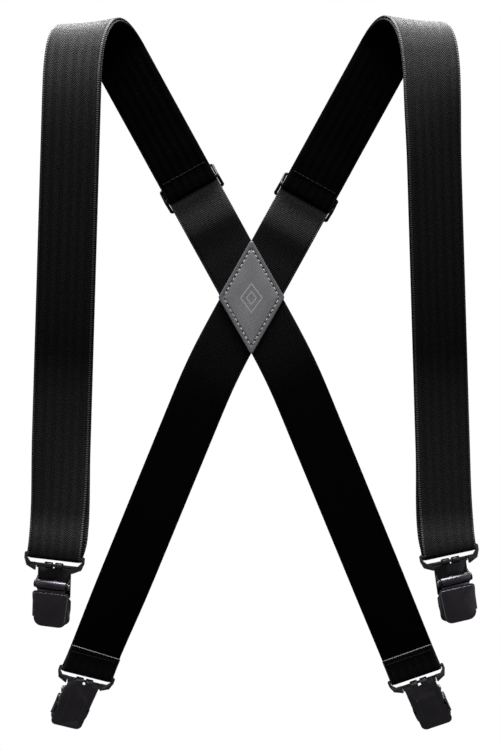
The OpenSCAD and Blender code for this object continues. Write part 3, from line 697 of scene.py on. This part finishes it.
# x, y and z of a piece's own frame as a matrix that takes millimetres to the shared frame
def ownFrame(x, y, z, origin):
    turn = Matrix((x, y, z)).transposed().to_4x4()
    return Matrix.Translation(Vector(origin)) @ turn @ Matrix.Scale(0.001, 4)


def inFrame(place, points):
    inverse = place.inverted()
    return np.array([list(inverse @ Vector(p)) for p in points])


def meshPoints(node):
    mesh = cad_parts[node].data
    points = np.empty(len(mesh.vertices) * 3)
    mesh.vertices.foreach_get("co", points)
    return points.reshape(-1, 3)


def flattestNormal(node):
    areas = {}
    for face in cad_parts[node].data.polygons:
        key = tuple(round(c, 2) for c in face.normal)
        areas[key] = areas.get(key, 0) + face.area
    return Vector(max(areas, key=areas.get)).normalized()


def clipFrame(clip):
    pin = meshPoints(clip + "_hinge_pin")
    centre = (pin.min(axis=0) + pin.max(axis=0)) / 2
    x = Vector(np.linalg.svd(pin - pin.mean(axis=0))[2][0])
    y = flattestNormal(clip + "_back_plate")
    plate = meshPoints(clip + "_back_plate").mean(axis=0)
    if (Vector(centre) - Vector(plate)).dot(y) < 0:
        y = -y
    x = (x - y * x.dot(y)).normalized()
    z = x.cross(y)
    if Vector(meshPoints(clip + "_ring").mean(axis=0) - centre).dot(z) < 0:
        x, z = -x, -z
    return ownFrame(x, y, z, centre)


def cornerArc(centre, radius, start, stop, count=10):
    turns = [math.radians(start + (stop - start) * i / count) for i in range(count + 1)]
    return [(centre[0] + radius * math.cos(a), centre[1] + radius * math.sin(a)) for a in turns]


def evenly(points, step):
    points = np.array(points + points[:1])
    lengths = np.concatenate([[0], np.cumsum(np.linalg.norm(np.diff(points, axis=0), axis=1))])
    at = np.linspace(0, lengths[-1], int(lengths[-1] / step), endpoint=False)
    return np.stack([np.interp(at, lengths, points[:, 0]), np.interp(at, lengths, points[:, 1])], axis=1)


def joinInto(piece, mesh):
    bm = bmesh.new()
    bm.from_mesh(piece.data)
    bm.from_mesh(mesh)
    bm.to_mesh(piece.data)
    bm.free()
    piece.data.shade_smooth()
    piece.data.set_sharp_from_angle(angle=math.radians(38))


# edges are in metres, and the rest in millimetres or, for rimWidth, a share of the way in
clipLook = {
    "plateEdge": 0.00015, "coverEdge": 0.00018, "ringEdge": 0.00025, "padEdge": 0.00008, "pinEdge": 0.0001,
    "knuckleOut": 6.2, "curlOut": 12.4, "curlRadius": 2.1, "barClear": 1.12, "neckDrop": 2.7,
    "margin": 0.25, "taper": 1.3, "topCorner": 2.4, "lowCorner": 6.2, "rimWidth": 0.085, "crown": 0.55,
    "rollReach": 6, "proud": 0.15, "faceThick": 1.5, "outlineStep": 0.55,
}


# the pressed face of a cover: rolled rim, gentle crown
def coverFace(clip):
    look = clipLook
    place = clipFrame(clip)
    local = inFrame(place, meshPoints(clip + "_cover"))
    sheet = local[local[:, 2] < -look["rollReach"]]
    half, front = sheet[:, 0].max() + look["margin"], sheet[:, 1].max() + look["proud"]
    low = local[:, 2].min() - 0.2
    high = local[(abs(local[:, 0]) > half - 1.2) & (local[:, 1] > 1)][:, 2].max() + 0.1
    top, big, taper = look["topCorner"], look["lowCorner"], look["taper"]
    outline = evenly(cornerArc((half - top, high - top), top, 90, 0)
        + cornerArc((half - taper - big, low + big), big, 0, -90)
        + cornerArc((-half + taper + big, low + big), big, -90, -180)
        + cornerArc((-half + top, high - top), top, 180, 90), look["outlineStep"])
    back = front - look["faceThick"]

    def height(x, z, share):
        rim = min(share / look["rimWidth"], 1)
        rise = back + (front - back) * math.sqrt(1 - (1 - rim) ** 2)
        return rise + look["crown"] * (1 - (1 - share) ** 2.2)
    shares = [0, 0.004, 0.012, 0.022, 0.035, 0.05, 0.068, 0.09, 0.13, 0.2, 0.3, 0.42, 0.55, 0.7, 0.85]
    return domedPlate(clip + "Face", outline, shares, height, back, place)


# the neck's upper edge, curled under the ring's bar beside the knuckles
def neckEdge(clip):
    look = clipLook
    place = clipFrame(clip)
    local = inFrame(place, meshPoints(clip + "_back_plate"))
    knuckles = local[abs(local[:, 0]) < look["knuckleOut"] - 0.1]
    bar = knuckles[:, 2].max() - look["curlRadius"]
    depth = knuckles[knuckles[:, 2] > bar][:, 1].min() + look["curlRadius"]
    outer, inner = look["curlRadius"], look["barClear"]
    turns = [math.radians(170 + 11 * i) for i in range(11)]
    section = [(depth - outer, bar - look["neckDrop"]), (depth - outer, bar + 0.2)]
    section += [(depth + inner * math.cos(a), bar + inner * math.sin(a)) for a in turns]
    section += [(depth + 0.37, bar - outer), (depth - outer + 1, bar - outer - 0.1)]
    section += [(depth - outer + 1, bar - look["neckDrop"])]
    count = len(section)
    points, faces = [], []
    for sign in (-1, 1):
        start = len(points)
        for x in (look["knuckleOut"] - 0.2, look["curlOut"]):
            points.extend(tuple(place @ Vector((sign * x, y, z))) for y, z in section)
        faces.extend([(start + k, start + (k + 1) % count, start + count + (k + 1) % count, start + count + k)
            for k in range(count)])
        faces.extend([tuple(range(start, start + count)), tuple(range(start + count, start + 2 * count))])
    mesh = bpy.data.meshes.new(clip + "NeckEdge")
    mesh.from_pydata(points, [], faces)
    turnOutwards(mesh)
    return mesh


# piece, node, finish, edge, bevel segments, body and slot
clipParts = (
    ("Ring", "_ring", ringPlating, "ringEdge", 2, "_ring", "ring_metal"),
    ("BackPlate", "_back_plate", clipPlating, "plateEdge", 2, "_clip", "clip_metal"),
    ("HingePin", "_hinge_pin", pinSteel, "pinEdge", 2, "_clip", "pin_steel"),
    ("BackPad", "_back_pad", padRubber, "padEdge", 1, "_clip", "pad_rubber"),
    ("Cover", "_cover", clipPlating, "coverEdge", 3, "_cover", "clip_metal"),
    ("CoverPad", "_cover_pad", padRubber, "padEdge", 1, "_cover", "pad_rubber"),
)
addedTo = {"BackPlate": neckEdge, "Cover": coverFace}
for clip in ("front_left", "front_right", "back_left", "back_right"):
    words = clip.split("_")
    label = words[0] + words[1].capitalize()
    for part, node, finish, edge, segments, body, slotName in clipParts:
        # the front clips' back plates get the darker copy: painted shade on their necks under the rings
        if part == "BackPlate" and words[0] == "front":
            finish = paintedShadePlating
        piece = softened(label + part, clip + node, finish, clipLook[edge], segments, clip + body, slotName)
        if part in addedTo:
            joinInto(piece, addedTo[part](clip))
print("clips made")


# the centre, run and outward side of each stitch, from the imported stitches
def stitchPlaces(node):
    bm = bmesh.new()
    bm.from_mesh(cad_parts[node].data)
    bmesh.ops.remove_doubles(bm, verts=bm.verts, dist=0.000003)
    bm.verts.ensure_lookup_table()
    seen, found = set(), []
    for vert in bm.verts:
        if vert in seen:
            continue
        group, edge = {vert}, [vert]
        while edge:
            reached = [e.other_vert(v) for v in edge for e in v.link_edges]
            edge = [v for v in dict.fromkeys(reached) if v not in group]
            group.update(edge)
        seen |= group
        points = np.array([list(v.co) for v in sorted(group, key=lambda v: v.index)])
        axes = np.linalg.svd(points - points.mean(axis=0))[2]
        found.append((points.mean(axis=0), axes[0], axes[2]))
    bm.free()
    return found


def threadTree():
    tree = bpy.data.node_groups.new("threadRun", "GeometryNodeTree")
    face = tree.interface
    face.new_socket(name="Geometry", in_out="INPUT", socket_type="NodeSocketGeometry")
    sizes = (("Thread Radius", 0.0003), ("Stitch Length", 0.002), ("Arch", 0.0003), ("Sink", 0.0002))
    for label, default in sizes:
        face.new_socket(name=label, in_out="INPUT", socket_type="NodeSocketFloat").default_value = default
    face.new_socket(name="Seed", in_out="INPUT", socket_type="NodeSocketInt").default_value = 3
    face.new_socket(name="Thread", in_out="INPUT", socket_type="NodeSocketMaterial")
    face.new_socket(name="Geometry", in_out="OUTPUT", socket_type="NodeSocketGeometry")
    link = tree.links.new
    start = addNode(tree, "NodeGroupInput", (-1200, 0)).outputs
    end = addNode(tree, "NodeGroupOutput", (1200, 0)).inputs
    sunk = mathNode(tree, "MULTIPLY", start["Sink"], -1, (-1000, 140))
    ends = []
    for share, row in ((-0.5, 460), (0.5, 300)):
        reach = mathNode(tree, "MULTIPLY", start["Stitch Length"], share, (-1000, row))
        spot = addNode(tree, "ShaderNodeCombineXYZ", (-800, row))
        link(reach, spot.inputs["X"])
        link(sunk, spot.inputs["Z"])
        ends.append(spot)
    crest = addNode(tree, "ShaderNodeCombineXYZ", (-800, 140))
    link(start["Arch"], crest.inputs["Z"])
    path = addNode(tree, "GeometryNodeCurveQuadraticBezier", (-600, 300))
    path.inputs["Resolution"].default_value = 8
    link(ends[0].outputs[0], path.inputs["Start"])
    link(crest.outputs[0], path.inputs["Middle"])
    link(ends[1].outputs[0], path.inputs["End"])
    ring = addNode(tree, "GeometryNodeCurvePrimitiveCircle", (-600, 60))
    ring.inputs["Resolution"].default_value = 8
    link(start["Thread Radius"], ring.inputs["Radius"])
    cord = addNode(tree, "GeometryNodeCurveToMesh", (-400, 240))
    link(path.outputs[0], cord.inputs["Curve"])
    link(ring.outputs[0], cord.inputs["Profile Curve"])
    cord.inputs["Fill Caps"].default_value = True
    run = addNode(tree, "GeometryNodeInputNamedAttribute", (-600, -200), data_type="FLOAT_VECTOR")
    run.inputs["Name"].default_value = "run"
    out = addNode(tree, "GeometryNodeInputNamedAttribute", (-600, -380), data_type="FLOAT_VECTOR")
    out.inputs["Name"].default_value = "out"
    turn = addNode(tree, "FunctionNodeAxesToRotation", (-400, -280), primary_axis="Z", secondary_axis="X")
    link(out.outputs["Attribute"], turn.inputs["Primary Axis"])
    link(run.outputs["Attribute"], turn.inputs["Secondary Axis"])
    wander = addNode(tree, "FunctionNodeRandomValue", (-400, -520), data_type="FLOAT_VECTOR")
    link(start["Seed"], wander.inputs["Seed"])
    wander.inputs["Min"].default_value = (-0.02, -0.03, -0.05)
    wander.inputs["Max"].default_value = (0.02, 0.03, 0.05)
    lean = addNode(tree, "FunctionNodeEulerToRotation", (-200, -520))
    link(wander.outputs["Value"], lean.inputs[0])
    turned = addNode(tree, "FunctionNodeRotateRotation", (0, -340), rotation_space="LOCAL")
    link(turn.outputs[0], turned.inputs[0])
    link(lean.outputs[0], turned.inputs[1])
    size = addNode(tree, "FunctionNodeRandomValue", (-200, -720), data_type="FLOAT_VECTOR")
    link(start["Seed"], size.inputs["Seed"])
    size.inputs["Min"].default_value = (0.94, 0.92, 0.92)
    size.inputs["Max"].default_value = (1.04, 1.05, 1.05)
    placed = addNode(tree, "GeometryNodeInstanceOnPoints", (200, 0))
    link(start["Geometry"], placed.inputs["Points"])
    link(cord.outputs[0], placed.inputs["Instance"])
    link(turned.outputs[0], placed.inputs["Rotation"])
    link(size.outputs["Value"], placed.inputs["Scale"])
    real = addNode(tree, "GeometryNodeRealizeInstances", (400, 0))
    link(placed.outputs[0], real.inputs[0])
    smooth = addNode(tree, "GeometryNodeSetShadeSmooth", (600, 0))
    link(real.outputs[0], smooth.inputs[0])
    finish = addNode(tree, "GeometryNodeSetMaterial", (800, 0))
    link(smooth.outputs[0], finish.inputs["Geometry"])
    link(start["Thread"], finish.inputs["Material"])
    link(finish.outputs[0], end["Geometry"])
    return tree


threadRun = threadTree()
threadLook = {
    "patch": {"Thread Radius": 0.00032, "Stitch Length": 0.0022, "Arch": 0.00045, "Sink": 0.0003,
        "Seed": 5},
    "strap": {"Thread Radius": 0.00028, "Stitch Length": 0.0027, "Arch": 0.00035, "Sink": 0.00025,
        "Seed": 11},
}


def stitching(name, node, material, look, body, outward):
    found = stitchPlaces(node)
    mesh = bpy.data.meshes.new(name + "Places")
    mesh.from_pydata([tuple(c) for c, run, out in found], [], [])
    runs, outs = [], []
    for centre, run, out in found:
        away = outward(centre)
        runs.extend(run)
        outs.extend(out if np.dot(out, away) > 0 else -out)
    mesh.attributes.new("run", "FLOAT_VECTOR", "POINT").data.foreach_set("vector", runs)
    mesh.attributes.new("out", "FLOAT_VECTOR", "POINT").data.foreach_set("vector", outs)
    piece = newPiece(name, mesh)
    rows = piece.modifiers.new("threadRun", "NODES")
    rows.node_group = threadRun
    settings = {**look, "Thread": material}
    for socket in threadRun.interface.items_tree:
        if socket.in_out == "INPUT" and socket.name in settings:
            rows[socket.identifier] = settings[socket.name]
    bpy.context.view_layer.update()
    makePlain(piece)
    piece.data.name = name
    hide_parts(node)
    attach(piece, body)
    return found


slideLook = {"fuller": 0.00016}
for side in ("left", "right"):
    slide = softened(side + "Slide", side + "_slide", slidePlating, 0, 1, side + "_adjuster", "slide_metal")
    normals = [vert.normal.copy() for vert in slide.data.vertices]
    for vert, normal in zip(slide.data.vertices, normals):
        vert.co += normal * slideLook["fuller"]
    stitching(side + "EndStitching", side + "_end_stitching", strapThread, threadLook["strap"],
        side + "_adjuster", lambda c: (0, -1, 0))
    stitching(side + "LoopStitching", side + "_loop_stitching", strapThread, threadLook["strap"],
        "straps", lambda c: (0, -1, 0))
patchNormal = flattestNormal("inner_patch")
patchNormal = patchNormal if patchNormal.y < 0 else -patchNormal
patchMiddle = (Vector(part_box("inner_patch")[0]) + Vector(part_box("outer_patch")[1])) / 2
patchStitches = stitching("patchStitching", "patch_stitching", patchThread, threadLook["patch"],
    "straps",
    lambda c: patchNormal if (Vector(c) - patchMiddle).dot(patchNormal) > 0 else -patchNormal)


patchLook = {
    "corner": 1.5, "seamInset": 3.1, "channelDepth": 0.3, "channelWidth": 0.75, "puff": 0.25,
    "emblemWidth": 15.0, "emblemHeight": 20.25, "inner": 0.45, "pressDepth": 0.1, "pressWidth": 0.32,
    "holeDepth": 0.45, "holeRadius": 0.55, "holeReach": 0.0016, "edgeRound": 0.7, "edgeDrop": 0.55,
    "sideTrim": 0.225, "tipTrim": 1.541,        # what the rounding takes off the sharp corners
}


def patchPiece(name, node, sign):
    look = patchLook
    points = meshPoints(node)
    y = patchNormal * -sign
    centre = (points.min(axis=0) + points.max(axis=0)) / 2
    z = (Vector((0, 0, 1)) - y * y.z).normalized()
    x = y.cross(z)
    place = ownFrame(x, y, z, centre)
    inverse = place.inverted()
    local = inFrame(place, points)
    front, back = local[:, 1].max(), local[:, 1].min()
    width = 2 * (local[:, 0].max() + look["sideTrim"])
    height = 2 * (local[:, 2].max() + look["tipTrim"])
    slant = math.degrees(math.atan2(height, width))
    r = look["corner"]
    side = width / 2 - r / math.sin(math.radians(slant))
    tip = height / 2 - r / math.cos(math.radians(slant))
    outline = evenly(cornerArc((side, 0), r, slant - 90, 90 - slant)
        + cornerArc((0, tip), r, 90 - slant, 90 + slant)
        + cornerArc((-side, 0), r, 90 + slant, 270 - slant)
        + cornerArc((0, -tip), r, 270 - slant, 270 + slant), 0.5)
    inradius = width / 2 * math.sin(math.radians(slant))
    holes = []
    for middle, run, out in patchStitches:
        if (Vector(middle) - patchMiddle).dot(y) > 0:
            for reach in (-look["holeReach"], look["holeReach"]):
                spot = inverse @ Vector(middle + run * reach)
                holes.append((spot.x, spot.z))
    holes = np.array(holes)

    def pressed(x, z):
        wide, tall = look["emblemWidth"], look["emblemHeight"]
        ring = abs(x) / (wide / 2) + abs(z) / (tall / 2)
        reach = wide * tall / 2 / math.hypot(wide, tall)
        gap = min(abs(ring - 1), abs(ring - look["inner"])) * reach
        return math.exp(-(gap / look["pressWidth"]) ** 2)

    def pitted(x, z):
        nearest = np.min(np.hypot(holes[:, 0] - x, holes[:, 1] - z))
        return math.exp(-(nearest / look["holeRadius"]) ** 2)

    def rise(x, z, share):
        inside = share * inradius
        edge = min(inside / look["edgeRound"], 1)
        level = front - look["edgeDrop"] * (1 - math.sqrt(1 - (1 - edge) ** 2))
        channel = math.exp(-((inside - look["seamInset"]) / look["channelWidth"]) ** 2)
        level -= look["channelDepth"] * channel
        level += look["puff"] * min(max((inside - look["seamInset"]) / 5, 0), 1)
        if abs(inside - look["seamInset"]) < 1.5:
            level -= look["holeDepth"] * pitted(x, z)
        return level - look["pressDepth"] * pressed(x, z)

    def paint(x, z, share):
        inside = share * inradius
        rim = 1 - min(max((inside - look["seamInset"] + 0.9) / 1.1, 0), 1)
        # the blue channel is painted shade in the stitch holes
        holeShade = pitted(x, z) if abs(inside - look["seamInset"]) < 1.5 else 0
        return (max(rim, 0.6 * math.exp(-(inside / 0.6) ** 2)), pressed(x, z), holeShade)
    rims = [0, 0.03, 0.09, 0.18, 0.3, 0.45, 0.6, 0.8, 1.1, 1.5, 1.9]
    channel = list(np.arange(2.1, 4.3, 0.2))
    rest = list(np.arange(4.6, inradius - 8.2, 0.9)) + list(np.arange(inradius - 8, inradius - 0.2, 0.24))
    shares = [d / inradius for d in rims + channel + rest]
    mesh = domedPlate(name, outline, shares, rise, back, place, paint)
    piece = newPiece(name, mesh, leather)
    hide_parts(node)
    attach(piece, "straps")


patchPiece("innerPatch", "inner_patch", -1)
patchPiece("outerPatch", "outer_patch", 1)
print("patch made")


# studio: white floor and surroundings, broad lights above and behind, and weaker fills
studioLook = {
    "floorDrop": 0.05, "floorTone": 1.0, "ambient": 0.22,
    "topPower": 34, "rimPower": 36, "frontPower": 6.5, "sidePower": 3, "lowPower": 0.6,
}


def buildStudio():
    look = studioLook
    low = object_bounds()[0]
    mesh = bpy.data.meshes.new("floor")
    size = 6.0
    z = low[2] - look["floorDrop"]
    corners = [(-size, -size, z), (size, -size, z), (size, size, z), (-size, size, z)]
    mesh.from_pydata(corners, [], [(0, 1, 2, 3)])
    material = bpy.data.materials.new("paleFloor")
    material.use_nodes = True
    tree = material.node_tree
    tree.nodes.clear()
    glow = addNode(tree, "ShaderNodeEmission", (0, 0))
    glow.inputs["Color"].default_value = (1, 1, 1, 1)
    glow.inputs["Strength"].default_value = look["floorTone"]
    out = addNode(tree, "ShaderNodeOutputMaterial", (200, 0))
    tree.links.new(glow.outputs[0], out.inputs["Surface"])
    floor = newPiece("floor", mesh, material)
    floor.visible_diffuse = False
    floor.visible_glossy = False
    world = bpy.data.worlds.new("studio")
    scene.world = world
    world.use_nodes = True
    nodes = world.node_tree
    nodes.nodes.clear()
    path = addNode(nodes, "ShaderNodeLightPath", (-400, 200))
    back = addNode(nodes, "ShaderNodeBackground", (0, 0))
    back.inputs["Color"].default_value = (1, 1, 1, 1)
    strength = mathNode(nodes, "MULTIPLY_ADD", path.outputs["Is Camera Ray"], 1 - look["ambient"],
        (-200, 100))
    strength.node.inputs[2].default_value = look["ambient"]
    nodes.links.new(strength, back.inputs["Strength"])
    end = addNode(nodes, "ShaderNodeOutputWorld", (200, 0))
    nodes.links.new(back.outputs[0], end.inputs["Surface"])

    def panel(name, place, target, size, power):
        light = bpy.data.lights.new(name, "AREA")
        light.shape = "RECTANGLE"
        light.size, light.size_y = size
        light.energy = power
        lamp = bpy.data.objects.new(name, light)
        lamp.location = place
        lamp.rotation_euler = (Vector(target) - Vector(place)).to_track_quat("-Z", "Y").to_euler()
        lamp.visible_camera = False
        scene.collection.objects.link(lamp)
    panel("topPanel", (0, -0.28, 0.75), (0, -0.05, 0.1), (0.9, 0.35), look["topPower"])
    panel("rimPanel", (0, 0.45, 0.85), (0, -0.04, 0.18), (0.9, 0.5), look["rimPower"])
    panel("frontPanel", (0, -1.7, 0.35), (0, 0, -0.05), (1.6, 1.2), look["frontPower"])
    panel("lowPanel", (0, -0.55, -0.5), (0, -0.06, -0.2), (0.5, 0.2), look["lowPower"])
    for sign in (-1, 1):
        name = "sidePanel" + ("Left" if sign < 0 else "Right")
        panel(name, (sign * 1.1, -0.5, 0.1), (0, 0, -0.1), (0.5, 1.2), look["sidePower"])


cameraPlace = {"x": -0.001, "y": -1.3613, "z": -0.0542, "lens": 62.3, "sensor": 24.0}


def buildCamera():
    data = bpy.data.cameras.new("camera")
    data.sensor_fit = "VERTICAL"
    data.sensor_height = cameraPlace["sensor"]
    data.lens = cameraPlace["lens"]
    data.clip_start, data.clip_end = 0.01, 50
    camera = bpy.data.objects.new("camera", data)
    camera.location = (cameraPlace["x"], cameraPlace["y"], cameraPlace["z"])
    camera.rotation_euler = (math.radians(90), 0, 0)
    scene.collection.objects.link(camera)
    scene.camera = camera


buildStudio()
buildCamera()
scene.view_settings.view_transform = "Standard"
print("studio and camera made")

bpy.context.view_layer.update()
